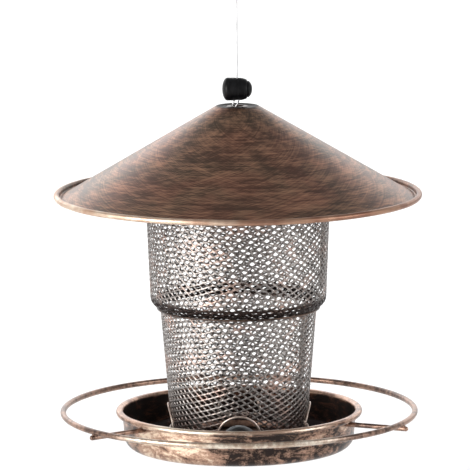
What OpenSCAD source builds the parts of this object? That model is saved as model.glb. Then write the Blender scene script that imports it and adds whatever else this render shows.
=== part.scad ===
// Hanging bird feeder in antique copper: a cone roof over a two-tier mesh hopper that
// telescopes, with a round seed tray, a wire perch ring and a steel hanging cable.
// Heights below are measured up from the underside of the tray. Every part is then
// lowered by eye_h, so that the origin is the point that the feeder hangs from.

/* [Sheet and mesh] */
// Thickness of the spun sheet metal
sheet_t = 0.7; // [0.6:0.05:0.75]
// Thickness of the expanded-metal mesh
mesh_t = 1; // [0.8:0.1:1]

/* [Roof] */
// Outer diameter over the rolled rim
roof_d = 254; // [240:1:270]
// Height of the middle of the rolled rim
roof_rim_h = 176; // [172:0.5:178]
// Height of the crown's edge
crown_h = 237.5; // [237:0.1:238.4]
// Radius of the dished crown
crown_r = 14.2; // [12:0.1:15]
// How far the crown is dished
crown_dish = 0.8; // [0.4:0.1:1]

/* [Upper tier] */
// Mesh radius at the top
upper_top_r = 64.6; // [64:0.1:65]
// Mesh radius where the in-turned foot starts
upper_foot_r = 60.6; // [60.4:0.1:61]
// Height of the top of the band round the mesh
band_top_h = 204.7; // [203:0.1:204.9]
// Radius of the in-turned foot
lip_round = 7; // [6.9:0.1:7.2]
// Mesh radius at the mouth of the foot
lip_mouth_r = 54.9; // [54.8:0.1:55.2]
// Lowest height of the foot
lip_h = 98.6; // [98.4:0.1:98.8]

/* [Lower tier] */
// Mesh radius under the flange
lower_top_r = 53.95; // [53.6:0.05:54]
// Mesh radius at the foot
lower_foot_r = 46.05; // [45.8:0.05:46.3]
// Outer radius of the flange that hangs in the upper tier's foot
flange_r = 58; // [57.6:0.1:58.2]
// Radius of the arch of a seed port
port_r = 14; // [11:0.5:15]
// Height of a port's sill
port_sill_h = 13.4; // [12:0.1:15]
// Width of a port's rim
port_rim_w = 1.6; // [1.2:0.1:2]

/* [Tray] */
// Outer radius over the rolled rim
tray_r = 85.4; // [84:0.1:87]
// Height of the middle of the rolled rim
tray_rim_h = 24.35; // [23.5:0.05:24.5]
// Radius of the raised middle of the floor
plateau_r = 50; // [49:0.5:51]
// How far the middle of the floor is raised
plateau_h = 2.5; // [2.4:0.1:2.5]
// Number of drain holes
drains = 8; // [4:1:12]
// Diameter of a drain hole
drain_d = 3.5; // [2:0.5:4]

/* [Perch] */
// Radius of the perch ring to the middle of its wire
perch_r = 122; // [110:1:124]
// Wire diameter of the perch ring
perch_d = 4; // [3:0.2:4.2]
// Wire diameter of the arms
arm_d = 3.5; // [3:0.1:3.5]
// Radius that the arms reach
arm_tip_r = 126; // [125.5:0.5:128]
// Angle of the first arm, measured from +X
first_arm_a = -23.5; // [-30:0.5:-20]

/* [Hanging gear] */
// Diameter of the cable
cable_d = 1; // [0.8:0.1:1]
// Length of the spring stopper along its push button
stopper_l = 20.6; // [20:0.1:21]
// Diameter of the stopper
stopper_d = 15.8; // [15.4:0.1:16]
// Height of the stopper's underside
stopper_h = 241.4; // [241:0.1:242]

/* [Hidden] */
$fn = 64;

// The origin: the inside of the cable's eye, above the tray's underside
eye_h = 371;
// Gap between pieces that are assembled together, and that gap doubled
fit = 0.05;
slack = 2 * fit;

// Roof sheet: the rolled rim, the gutter inside it and the crown
rim_curl_r = 1.7;
rim_mid_r = roof_d / 2 - rim_curl_r - sheet_t / 2;
gutter_r = 1.2;
gutter_c = [rim_mid_r - rim_curl_r - gutter_r, roof_rim_h - 0.5];
crown_edge = [crown_r, crown_h];
crown_floor_h = crown_h - crown_dish;
eyelet_bore_r = 4.5;
eyelet_t = 0.6;
roof_hole_r = eyelet_bore_r + eyelet_t + fit;

// Upper tier: band, foot and strap
band_h = 4.8;
band_t = 0.6;
lip_c = [upper_foot_r - lip_round, lip_h + lip_round];
upper_top_h = band_top_h - 0.8;
upper_a = [upper_top_r, upper_top_h];
upper_b = [upper_foot_r, lip_c.y];
hoop_r = 0.8;
seam_w = 8;
seam_t = 0.8;
strap_w = 10;
strap_t = 1.5;
strap_under_h = 197.5;
strap_drop = 10.5;
strap_reach = 62.9;
strap_rivet_h = 192;
rivet_r = 1.4;

// Lower tier: foot, flange and ports
lower_foot_h = 4;
flange_round = 1.6;
flange_c = [lower_top_r + flange_round, lip_h + 0.3];
flange_slope = 30;
flange_turn = flange_c + flange_round * [-sin(flange_slope), cos(flange_slope)];
flange_end = [flange_r, flange_turn.y + (flange_r - flange_turn.x) * tan(flange_slope)];
lower_a = [lower_foot_r, lower_foot_h];
lower_b = [lower_top_r, flange_c.y];
port_leg = 1.2;
port_rim_t = 1.4;

// Tray sheet: the rolled rim, the wall and the floor
curl_r = 1.6;
floor_h = sheet_t / 2;
plateau_top_h = plateau_h + sheet_t;
tray_curl = [tray_r - curl_r - sheet_t / 2, tray_rim_h];
tray_turn = [tray_curl.x - 1, tray_rim_h];
corner_r = 7;
corner_c = [tray_r - 13.1, floor_h + corner_r];
drain_ring_r = 62;

// Cross, dome and screw inside the foot of the lower tier
cross_w = 10;
cross_t = 1.2;
cross_reach = 44.3;
cross_tab_h = 12;
cross_rivet_h = 7;
base_rivet_r = 1.2;
dome_r = 14;
dome_top_h = 13.5;
screw_r = 2;
washer_t = 0.8;

// Perch wires lie on top of the arms
arm_mid_h = tray_rim_h - curl_r - sheet_t / 2 - arm_d / 2 - fit;
perch_mid_h = arm_mid_h + arm_d / 2 + perch_d / 2;

// Stopper: a barrel along X with a spring button in its right end
stopper_mid_h = stopper_h + stopper_d / 2;
stopper_r = stopper_d / 2;
button_r = 5.6;
button_back = -3;
pocket_r = 3.6;
pocket_back = -8.4;
button_travel = 2.5;
cord_bore_r = 2.9;

// The whole cable, one length: up from its stop under the strap, round the eye, and back
// down to the other stop. The two strands pass the crown's eyelet and the stopper apart.
CABLE = [
    [-3, 0, 191], [-3, 0, 200], [-3.2, 0, 214], [-3.4, -0.2, 226], [-3.4, -0.4, 234],
    [-3, -0.6, 239], [-1.8, -0.8, 242], [-0.6, -0.9, 244.8], [0, -0.9, 249], [0, -0.9, 256],
    [0, -0.9, 285], [0, -0.9, 320], [0, -0.9, 345.2], [0, -1.7, 348.5], [0, -3.8, 352.5],
    [0, -6, 357], [0, -7.3, 361.5], [0, -6.8, 366], [0, -4.4, 369.6], [0, 0, 371.5],
    [0, 4.4, 369.6], [0, 6.8, 366], [0, 7.3, 361.5], [0, 6, 357], [0, 3.8, 352.5],
    [0, 1.7, 348.5], [0, 0.9, 345.2], [0, 0.9, 320], [0, 0.9, 285], [0, 0.9, 256],
    [0.1, 0.9, 248], [0.6, 0.8, 245], [1.2, 0.6, 242], [0.4, 0.4, 239.6], [-1.2, 0.3, 237],
    [-1.5, 0.2, 233], [0.4, 0.1, 224], [2.4, 0, 211], [3, 0, 200], [3, 0, 191]
];
cable_x = 3;
strand_y = 0.9;
stop_r = 2;
stop_l = 6.4;
ferrule_h = 336;
ferrule_l = 9;
ferrule_r = 1.4;

// Colours of the finishes
copper = "#6f5246";
copper_light = "#a8836d";
mesh_grey = "#7d7068";
steel = "#a9a9a6";
black = "#1c1c1f";

// ---- Helpers ----

// Points on an arc in the (radius, height) plane, without the first one
function arc(c, r, from, to, steps = 6) =
    [for (i = [1:steps]) let (a = from + (to - from) * i / steps) c + r * [cos(a), sin(a)]];

function unit(v) = v / norm(v);

// Direction across an open path at each of its points, longer at a bend by as much as
// keeps the sheet's thickness on both sides of it
function across(path) = [
    for (i = [0:len(path) - 1])
        let (
            before = unit(path[max(i, 1)] - path[max(i - 1, 0)]),
            after = unit(path[min(i + 1, len(path) - 1)] - path[min(i, len(path) - 2)]),
            mid = unit(before + after)
        )
        [-mid.y, mid.x] / (mid * before)
];

// Outline of a sheet of thickness t whose middle follows a path
function sheet_outline(path, t) =
    let (n = across(path), last = len(path) - 1)
    concat(
        [for (i = [0:last]) path[i] + n[i] * t / 2],
        [for (i = [last:-1:0]) path[i] - n[i] * t / 2]
    );

// Point at height h on the line through two points of a cone
function on_cone(a, b, h) = [a.x + (b.x - a.x) * (h - a.y) / (b.y - a.y), h];

// The same stretch of cone, moved outward by d
function cone_path(a, b, low, high, d = 0) =
    [on_cone(a, b, low) + [d, 0], on_cone(a, b, high) + [d, 0]];

// Rings of a round tube along a route that never runs along X
function tube_rings(route, r, sides) = [
    for (i = [0:len(route) - 1])
        let (
            t = unit(route[min(i + 1, len(route) - 1)] - route[max(i - 1, 0)]),
            u = unit(cross(t, [1, 0, 0])),
            v = cross(t, u)
        )
        for (k = [0:sides - 1]) let (a = 360 * k / sides) route[i] + r * (cos(a) * u + sin(a) * v)
];

function tube_faces(rings, sides) = concat(
    [[for (k = [0:sides - 1]) k]],
    [
        for (i = [0:rings - 2])
            for (k = [0:sides - 1])
                let (next = (k + 1) % sides)
                [i * sides + next, i * sides + k, (i + 1) * sides + k, (i + 1) * sides + next]
    ],
    [[for (k = [sides - 1:-1:0]) (rings - 1) * sides + k]]
);

module tube(route, r, sides = 8) {
    polyhedron(tube_rings(route, r, sides), tube_faces(len(route), sides), convexity = 8);
}

// Lowers a part from heights above the tray's underside to the hanging point
module hung() {
    translate([0, 0, -eye_h]) children();
}

// A sheet spun round the axis
module spun(path, t) {
    rotate_extrude() polygon(sheet_outline(path, t));
}

// A wire hoop at a point of the (radius, height) plane
module hoop(at, r) {
    rotate_extrude() translate(at) circle(r);
}

// A channel folded over the edge of a cone of mesh, open towards the mesh
module folded_edge(a, b, edge_h, closed_h, open_h) {
    difference() {
        spun(cone_path(a, b, closed_h, open_h), mesh_t + 2 * (band_t + fit));
        spun(cone_path(a, b, edge_h, open_h + (open_h - closed_h)), mesh_t + 2 * fit);
    }
}

// A flat block that reaches out from the axis at an angle
module spoke(angle, width, low, high, reach = 100) {
    rotate([0, 0, angle]) translate([0, -width / 2, low]) cube([reach, width, high - low]);
}

// A rivet through a wall, its shank along +X from one head to the other
module rivet(angle, h, inner, outer, r) {
    head_t = 0.9;
    rotate([0, 0, angle]) translate([0, 0, h]) rotate([0, 90, 0]) {
        translate([0, 0, inner - head_t / 2]) cylinder(h = outer - inner + head_t, r = r);
        translate([0, 0, inner - head_t]) cylinder(h = head_t, r1 = 1.4 * r, r2 = 2 * r);
        translate([0, 0, outer]) cylinder(h = head_t, r1 = 2 * r, r2 = 1.4 * r);
    }
}

// The bore that such a rivet passes through
module rivet_bore(angle, h, r) {
    rotate([0, 0, angle]) translate([0, 0, h]) rotate([0, 90, 0]) cylinder(h = 90, r = r + fit);
}

// ---- Roof ----

module roof_shell() {
    d = crown_edge - gutter_c;
    gutter_start = atan2(d.y, d.x) + acos(gutter_r / norm(d));
    path = concat(
        [
            [roof_hole_r, crown_floor_h],
            [crown_r - 2.5, crown_floor_h],
            [crown_r - 0.9, crown_h - 0.1],
            crown_edge + [0.4, -0.15],
            gutter_c + gutter_r * [cos(gutter_start), sin(gutter_start)]
        ],
        arc(gutter_c, gutter_r, gutter_start, 360),
        arc([rim_mid_r, roof_rim_h], rim_curl_r, 180, -100, 16)
    );
    hung() color(copper) spun(path, sheet_t);
}

module roof_rim_wire() {
    hung() color(steel) hoop([rim_mid_r, roof_rim_h], rim_curl_r - sheet_t / 2 - slack);
}

// A flanged tube rolled over both faces of the crown
module roof_eyelet() {
    top = crown_floor_h + sheet_t / 2;
    under = crown_floor_h - sheet_t / 2;
    flange = eyelet_bore_r + 3;
    hung() color(copper_light) rotate_extrude() {
        translate([eyelet_bore_r, under - eyelet_t]) square([eyelet_t, sheet_t + 2 * eyelet_t]);
        translate([eyelet_bore_r, top]) square([flange - eyelet_bore_r, eyelet_t]);
        translate([eyelet_bore_r, under - eyelet_t]) square([flange - eyelet_bore_r, eyelet_t]);
    }
}

// ---- Stopper ----

// Turns a shape from the vertical axis to the stopper's own axis along X
module along_stopper() {
    translate([0, 0, stopper_mid_h]) rotate([0, 90, 0]) children();
}

module stopper_body() {
    cap_l = 3.6;
    shoulder_l = 4;
    shoulder_r = 6.3;
    back = -stopper_l / 2;
    front = 6.8;
    outline = concat(
        [for (a = [0:10:90]) [stopper_r * sin(a), back + cap_l * (1 - cos(a))]],
        [
            for (a = [0:15:90])
                [shoulder_r + (stopper_r - shoulder_r) * cos(a), front - shoulder_l * (1 - sin(a))]
        ],
        [[0, front]]
    );
    hung() color(black) difference() {
        along_stopper() rotate_extrude() polygon(outline);
        along_stopper() translate([0, 0, button_back - button_travel - slack]) {
            cylinder(h = stopper_l, r = button_r + 0.3);
        }
        along_stopper() translate([0, 0, pocket_back]) cylinder(h = stopper_l, r = pocket_r);
        translate([0, 0, stopper_h - 1]) cylinder(h = stopper_d + 2, r = cord_bore_r);
    }
}

// The push button: a plunger with a slot for the two strands
module stopper_button() {
    tip = stopper_l / 2;
    dome_l = 2.7;
    slot = [-1.8, 4.4];
    outline = concat(
        [[0, button_back], [button_r, button_back]],
        [for (a = [0:10:90]) [button_r * cos(a), tip - dome_l * (1 - sin(a))]]
    );
    hung() color(black) difference() {
        along_stopper() rotate_extrude() polygon(outline);
        translate([slot[0], -2.2, stopper_h - 1]) cube([slot[1] - slot[0], 4.4, stopper_d + 2]);
    }
}

module stopper_spring() {
    wire_r = 0.3;
    turns = 3;
    low = pocket_back + fit + wire_r;
    high = button_back - fit - wire_r;
    steps = 16;
    route = [
        for (i = [0:turns * steps])
            let (a = 360 * i / steps)
            [2.9 * cos(a), 2.9 * sin(a), low + (high - low) * i / (turns * steps)]
    ];
    rings = [
        for (i = [0:len(route) - 1])
            let (a = 360 * i / steps, out = [cos(a), sin(a), 0])
            for (k = [0:5]) route[i] + wire_r * (cos(60 * k) * out + [0, 0, sin(60 * k)])
    ];
    hung() color(steel) along_stopper() polyhedron(rings, tube_faces(len(route), 6), convexity = 8);
}

// ---- Upper tier ----

module upper_sleeve() {
    mouth = -acos((lip_mouth_r - lip_c.x) / lip_round);
    path = concat([upper_a, upper_b], arc(lip_c, lip_round, 0, mouth, 8));
    hung() color(mesh_grey) difference() {
        spun(path, mesh_t);
        for (angle = [0, 180]) rivet_bore(angle, strap_rivet_h, rivet_r);
    }
}

// The strip that covers the joint where the rolled mesh meets itself
module upper_seam() {
    out = (mesh_t + seam_t) / 2 + fit;
    hung() color(mesh_grey) intersection() {
        spun(cone_path(upper_a, upper_b, lip_c.y + 1, band_top_h - band_h - 1, out), seam_t);
        spoke(20, seam_w, 90, 210);
    }
}

module upper_band() {
    hung() color(copper) folded_edge(
        upper_a, upper_b, upper_top_h + fit, band_top_h, band_top_h - band_h
    );
}

// The wire under the mouth of the foot
module lip_hoop() {
    r = lip_mouth_r + 1;
    under = lip_c.y - sqrt(pow(lip_round + mesh_t / 2, 2) - pow(r - lip_c.x, 2));
    hung() color(steel) hoop([r, under - hoop_r - fit], hoop_r);
}

// The strap across the top, bent down at both ends, that the cable holds
module cross_strap() {
    hung() color(steel) difference() {
        union() {
            translate([-strap_reach, -strap_w / 2, strap_under_h]) {
                cube([2 * strap_reach, strap_w, strap_t]);
            }
            for (angle = [0, 180]) {
                rotate([0, 0, angle]) {
                    translate([strap_reach - strap_t, -strap_w / 2, strap_under_h - strap_drop]) {
                        cube([strap_t, strap_w, strap_drop + strap_t]);
                    }
                }
            }
        }
        for (side = [-1, 1]) {
            translate([side * cable_x, 0, strap_under_h - 1]) cylinder(h = strap_t + 2, r = 0.8);
        }
        for (angle = [0, 180]) rivet_bore(angle, strap_rivet_h, rivet_r);
    }
}

module strap_rivets() {
    inner = strap_reach - strap_t;
    outer = on_cone(upper_a, upper_b, strap_rivet_h).x + mesh_t / 2 + 0.2;
    hung() color(copper_light) {
        for (angle = [0, 180]) rivet(angle, strap_rivet_h, inner, outer, rivet_r);
    }
}

// ---- Cable ----

module hanging_cable() {
    hung() color(steel) tube(CABLE, cable_d / 2);
}

// The crimped stops under the strap, one on each end of the cable
module cable_stops() {
    hung() color(steel) {
        for (side = [-1, 1]) {
            translate([side * cable_x, 0, strap_under_h - stop_l]) difference() {
                cylinder(h = stop_l - fit, r = stop_r);
                translate([0, 0, -1]) cylinder(h = stop_l + 2, r = cable_d / 2 + slack);
            }
        }
    }
}

// The double sleeve crimped under the eye
module cable_ferrule() {
    hung() color(steel) translate([0, 0, ferrule_h]) difference() {
        union() {
            for (y = [-strand_y, strand_y]) translate([0, y, 0]) cylinder(h = ferrule_l, r = ferrule_r);
            translate([-ferrule_r, -strand_y, 0]) cube([2 * ferrule_r, 2 * strand_y, ferrule_l]);
        }
        for (y = [-strand_y, strand_y]) {
            translate([0, y, -1]) cylinder(h = ferrule_l + 2, r = cable_d / 2 + slack);
        }
    }
}

// ---- Lower tier ----

// The outline of a seed port, grown by a margin: an arch on a short straight foot
module port_outline(grow = 0) {
    r = port_r + grow;
    foot = -port_leg - grow;
    polygon(concat([[-r, foot], [r, foot], [r, 0]], arc([0, 0], r, 0, 180, 18)));
}

// That outline pushed outward through the wall at an angle
module port_cut(angle, grow = 0) {
    rotate([0, 0, angle]) translate([20, 0, port_sill_h + port_leg]) rotate([90, 0, 90]) {
        linear_extrude(height = 50) port_outline(grow);
    }
}

module lower_sleeve() {
    path = concat(
        [lower_a, lower_b],
        arc(flange_c, flange_round, 180, 90 + flange_slope, 5),
        [flange_end]
    );
    hung() color(mesh_grey) difference() {
        spun(path, mesh_t);
        for (angle = [0:90:270]) port_cut(angle, 0.2);
        for (angle = [45:90:315]) rivet_bore(angle, cross_rivet_h, base_rivet_r);
    }
}

module lower_seam() {
    inward = -(mesh_t + seam_t) / 2 - fit;
    hung() color(mesh_grey) intersection() {
        spun(cone_path(lower_a, lower_b, 9, lip_h - 2, inward), seam_t);
        spoke(27, seam_w, 0, 110);
    }
}

module lower_hem() {
    closed_h = plateau_top_h + 0.1;
    hung() color(copper) difference() {
        folded_edge(lower_a, lower_b, lower_foot_h - fit, closed_h, closed_h + band_h);
        for (angle = [45:90:315]) rivet_bore(angle, cross_rivet_h, base_rivet_r);
    }
}

// The wire on top of the flange
module flange_hoop() {
    r = flange_r - 0.6;
    on_flange = flange_end.y - 0.6 * tan(flange_slope) + mesh_t / 2 / cos(flange_slope);
    hung() color(steel) hoop([r, on_flange + hoop_r / cos(flange_slope) + fit], hoop_r);
}

// The rim of a port, curved with the wall that it lies on
module port_rim(angle) {
    out = (mesh_t + port_rim_t) / 2 + fit;
    hung() color(copper_light) difference() {
        intersection() {
            spun(cone_path(lower_a, lower_b, 9, 40, out), port_rim_t);
            port_cut(angle, port_rim_w);
        }
        port_cut(angle);
    }
}

module port_rim_front() {
    port_rim(270);
}

module port_rim_right() {
    port_rim(0);
}

module port_rim_back() {
    port_rim(90);
}

module port_rim_left() {
    port_rim(180);
}

// ---- Tray ----

module tray_pan() {
    wall_start = -5;
    path = concat(
        [
            [screw_r + 0.3, plateau_h + floor_h],
            [plateau_r, plateau_h + floor_h],
            [plateau_r + 2.5, floor_h],
            [corner_c.x, floor_h]
        ],
        arc(corner_c, corner_r, -90, wall_start, 8),
        [[tray_turn.x - curl_r, tray_rim_h]],
        arc(tray_turn, curl_r, 180, 90, 4),
        [tray_curl + [0, curl_r]],
        arc(tray_curl, curl_r, 90, -110, 12)
    );
    hung() color(copper) difference() {
        spun(path, sheet_t);
        for (i = [0:drains - 1]) {
            rotate([0, 0, 360 * (i + 0.5) / drains]) translate([drain_ring_r, 0, -1]) {
                cylinder(h = 3, r = drain_d / 2);
            }
        }
    }
}

module tray_rim_wire() {
    hung() color(steel) hoop(tray_curl, curl_r - sheet_t / 2 - slack);
}

// The flat cross whose turned-up ends hold the foot of the lower tier
module base_cross() {
    hung() color(steel) difference() {
        for (angle = [45:90:315]) {
            spoke(angle, cross_w, plateau_top_h, plateau_top_h + cross_t, cross_reach);
            rotate([0, 0, angle]) {
                translate([cross_reach - cross_t, -cross_w / 2, plateau_top_h]) {
                    cube([cross_t, cross_w, cross_tab_h - plateau_top_h]);
                }
            }
        }
        translate([0, 0, -1]) cylinder(h = 20, r = screw_r + 0.3);
        for (angle = [45:90:315]) rivet_bore(angle, cross_rivet_h, base_rivet_r);
    }
}

module base_rivets() {
    inner = cross_reach - cross_t;
    outer = on_cone(lower_a, lower_b, cross_rivet_h).x + mesh_t / 2 + band_t + 0.3;
    hung() color(copper_light) {
        for (angle = [45:90:315]) rivet(angle, cross_rivet_h, inner, outer, base_rivet_r);
    }
}

// The dome that turns the seed outward, and that clamps the cross to the tray
module seed_dome() {
    foot = plateau_top_h + cross_t;
    hung() color(steel) difference() {
        translate([0, 0, dome_top_h - dome_r]) sphere(dome_r);
        translate([-20, -20, foot - 40]) cube([40, 40, 40]);
        translate([0, 0, foot - 1]) cylinder(h = 8, r = screw_r + fit);
    }
}

module dome_washer() {
    hung() color(steel) translate([0, 0, plateau_h - washer_t]) difference() {
        cylinder(h = washer_t, r = 5.5);
        translate([0, 0, -1]) cylinder(h = washer_t + 2, r = screw_r + 0.2);
    }
}

// The slotted screw that comes up from the recess under the tray
module dome_screw() {
    head_t = 1.5;
    head_r = 4;
    under = plateau_h - washer_t - head_t;
    hung() color(steel) translate([0, 0, under]) difference() {
        union() {
            cylinder(h = head_t / 2, r1 = head_r - 0.6, r2 = head_r);
            translate([0, 0, head_t / 2]) cylinder(h = head_t / 2, r = head_r);
            cylinder(h = 10, r = screw_r);
        }
        translate([-head_r - 1, -0.5, -1]) cube([2 * head_r + 2, 1, 1.7]);
    }
}

// ---- Perch ----

module perch_ring() {
    hung() color(copper_light) hoop([perch_r, perch_mid_h], perch_d / 2);
}

// An arm from the tray's wall out under the ring, with a rounded tip
module perch_arm(index) {
    root_r = tray_turn.x - curl_r + 0.1;
    hung() color(copper_light) rotate([0, 0, first_arm_a - 120 * index]) {
        translate([root_r, 0, arm_mid_h]) rotate([0, 90, 0]) {
            cylinder(h = arm_tip_r - root_r - arm_d / 2, r = arm_d / 2);
        }
        translate([arm_tip_r - arm_d / 2, 0, arm_mid_h]) sphere(arm_d / 2);
    }
}

module perch_arm_1() {
    perch_arm(0);
}

module perch_arm_2() {
    perch_arm(1);
}

module perch_arm_3() {
    perch_arm(2);
}

// ---- The feeder ----

roof_shell();
roof_rim_wire();
roof_eyelet();
stopper_body();
stopper_button();
stopper_spring();
upper_sleeve();
upper_seam();
upper_band();
lip_hoop();
cross_strap();
strap_rivets();
hanging_cable();
cable_stops();
cable_ferrule();
lower_sleeve();
lower_seam();
lower_hem();
flange_hoop();
port_rim_front();
port_rim_right();
port_rim_back();
port_rim_left();
tray_pan();
tray_rim_wire();
base_cross();
base_rivets();
seed_dome();
dome_screw();
dome_washer();
perch_ring();
perch_arm_1();
perch_arm_2();
perch_arm_3();
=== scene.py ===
import math

import bmesh
import bpy
import numpy as np
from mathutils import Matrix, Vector, noise


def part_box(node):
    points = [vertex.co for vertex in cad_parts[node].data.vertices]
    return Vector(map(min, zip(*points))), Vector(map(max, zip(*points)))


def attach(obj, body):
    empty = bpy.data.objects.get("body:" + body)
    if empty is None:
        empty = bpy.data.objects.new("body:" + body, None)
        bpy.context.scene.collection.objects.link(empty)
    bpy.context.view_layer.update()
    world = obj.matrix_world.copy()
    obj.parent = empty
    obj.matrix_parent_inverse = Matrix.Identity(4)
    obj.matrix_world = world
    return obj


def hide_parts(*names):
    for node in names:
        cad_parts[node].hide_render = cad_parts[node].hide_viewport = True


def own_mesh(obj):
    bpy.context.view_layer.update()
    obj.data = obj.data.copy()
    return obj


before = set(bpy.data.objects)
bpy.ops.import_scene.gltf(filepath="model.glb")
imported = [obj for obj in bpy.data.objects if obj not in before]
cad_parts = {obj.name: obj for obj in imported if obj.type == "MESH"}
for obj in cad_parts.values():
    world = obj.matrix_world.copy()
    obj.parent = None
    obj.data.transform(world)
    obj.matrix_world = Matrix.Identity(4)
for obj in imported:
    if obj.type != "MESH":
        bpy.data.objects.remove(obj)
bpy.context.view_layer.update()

# Sizes below are in millimetres. Heights are measured up from the tray's underside, as in
# the part's source, and every vertex is turned into the frame's metres by place().
MM = 0.001
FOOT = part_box("tray_pan")[0].z
EYE_H = -FOOT / MM

# Sizes that more than one section uses
SHEET_T = 0.7
ROOF_RIM_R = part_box("roof_shell")[1].x / MM
CROWN_R, CROWN_H = 14.2, 237.5
TRAY_RIM_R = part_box("tray_pan")[1].x / MM
TRAY_RIM_H = 24.35
TRAY_CORNER_R = 7
TRAY_CORNER_C = (TRAY_RIM_R - 13.1, SHEET_T / 2 + TRAY_CORNER_R)
TRAY_LEAN = 5
STOPPER_H, STOPPER_R = 249.3, 7.9


def place(points):
    """Turns millimetres with heights above the tray's underside into the frame's metres."""
    points = np.array(points, float)
    points[:, 2] -= EYE_H
    return points * MM


# ---- Camera and cable ----

def make_camera():
    """A long lens at the photograph's viewing angle, 11 degrees above the tray."""
    data = bpy.data.cameras.new("camera")
    data.sensor_width = 36
    data.lens = 370.2
    data.clip_end = 50
    camera = bpy.data.objects.new("camera", data)
    bpy.context.scene.collection.objects.link(camera)
    camera.location = (0, -3.293, 0.3104)
    aim = Vector((-0.0021, 0, -0.2233))
    look = (aim - camera.location).to_track_quat("-Z", "Y").to_euler()
    camera.rotation_euler = look
    camera.rotation_euler.rotate_axis("Z", math.radians(-0.35))
    bpy.context.scene.camera = camera


# The whole cable, as in the part's source: from its stop under the strap up round the eye,
# and back down to the other stop
CABLE = [
    (-3, 0, 191), (-3, 0, 200), (-3.2, 0, 214), (-3.4, -0.2, 226), (-3.4, -0.4, 234),
    (-3, -0.6, 239), (-1.8, -0.8, 242), (-0.6, -0.9, 244.8), (0, -0.9, 249), (0, -0.9, 256),
    (0, -0.9, 285), (0, -0.9, 320), (0, -0.9, 345.2), (0, -1.7, 348.5), (0, -3.8, 352.5),
    (0, -6, 357), (0, -7.3, 361.5), (0, -6.8, 366), (0, -4.4, 369.6), (0, 0, 371.5),
    (0, 4.4, 369.6), (0, 6.8, 366), (0, 7.3, 361.5), (0, 6, 357), (0, 3.8, 352.5),
    (0, 1.7, 348.5), (0, 0.9, 345.2), (0, 0.9, 320), (0, 0.9, 285), (0, 0.9, 256),
    (0.1, 0.9, 248), (0.6, 0.8, 245), (1.2, 0.6, 242), (0.4, 0.4, 239.6), (-1.2, 0.3, 237),
    (-1.5, 0.2, 233), (0.4, 0.1, 224), (2.4, 0, 211), (3, 0, 200), (3, 0, 191),
]
CABLE_D = 1


def refined(path, step):
    """The same path as points about a step apart, rounded where it bends."""
    points = [Vector(p) for p in path]
    smooth = []
    last = len(points) - 1
    for i in range(last):
        before, a, b, after = (points[min(max(k, 0), last)] for k in (i - 1, i, i + 1, i + 2))
        reach = (b - a).length
        turn_a = (b - before).normalized() * reach
        turn_b = (after - a).normalized() * reach
        count = max(1, round(reach / step))
        for k in range(count):
            t = k / count
            smooth.append(
                a * (2 * t**3 - 3 * t**2 + 1) + turn_a * (t**3 - 2 * t**2 + t)
                + b * (3 * t**2 - 2 * t**3) + turn_b * (t**3 - t**2)
            )
    return smooth + [points[-1]]


def link_mesh(name, points, faces, smooth_angle=35):
    """A mesh object from millimetre points, smooth but for edges sharper than the angle."""
    mesh = bpy.data.meshes.new(name)
    mesh.from_pydata([tuple(p) for p in place(points)], [], faces)
    mesh.polygons.foreach_set("use_smooth", [True] * len(mesh.polygons))
    mesh.set_sharp_from_angle(angle=math.radians(smooth_angle))
    piece = bpy.data.objects.new(name, mesh)
    bpy.context.scene.collection.objects.link(piece)
    return piece


def tube_points(path, section_at, up=Vector((1, 0, 0)), closed=False):
    """Rings along a path: section_at(i) gives each ring's (sideways, upward) points."""
    rings = []
    last = len(path) - 1
    side = None
    for i, p in enumerate(path):
        ahead = path[(i + 1) % len(path)] if closed else path[min(i + 1, last)]
        behind = path[i - 1] if closed else path[max(i - 1, 0)]
        along = (ahead - behind).normalized()
        side = along.cross(up if side is None or closed else side.cross(along)).normalized()
        lift = side.cross(along)
        rings += [p + side * a + lift * b for a, b in section_at(i)]
    return rings


def tube_faces(rings, sides, closed=False):
    """Faces between rings of points, with a cap at each end unless the tube is closed on itself."""
    faces = []
    for i in range(rings if closed else rings - 1):
        a, b = i * sides, (i + 1) % rings * sides
        faces += [(a + k, a + (k + 1) % sides, b + (k + 1) % sides, b + k) for k in range(sides)]
    if not closed:
        faces += [tuple(range(sides))[::-1], tuple(range((rings - 1) * sides, rings * sides))]
    return faces


def circle(radius, sides):
    """Points round a circle, in the section of a tube."""
    angles = [2 * math.pi * k / sides for k in range(sides)]
    return [(radius * math.cos(a), radius * math.sin(a)) for a in angles]


def make_cable():
    """Seven-strand cable: six outer strands show as lobes that twist along it."""
    path = refined(CABLE, 0.8)
    sides, lay = 18, 7.0
    run = [0.0]
    for a, b in zip(path, path[1:]):
        run.append(run[-1] + (b - a).length)

    def section(i):
        twist = 2 * math.pi * run[i] / lay
        points = []
        for k in range(sides):
            a = 2 * math.pi * k / sides
            r = CABLE_D / 2 * (0.9 + 0.1 * math.cos(6 * (a - twist)))
            points.append((r * math.cos(a), r * math.sin(a)))
        return points

    cable = link_mesh("steel_cable", tube_points(path, section), tube_faces(len(path), sides))
    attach(cable, "hopper")
    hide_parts("hanging_cable")
    line = place([tuple(p) for p in path])
    return cable


# ---- Materials ----

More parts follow.
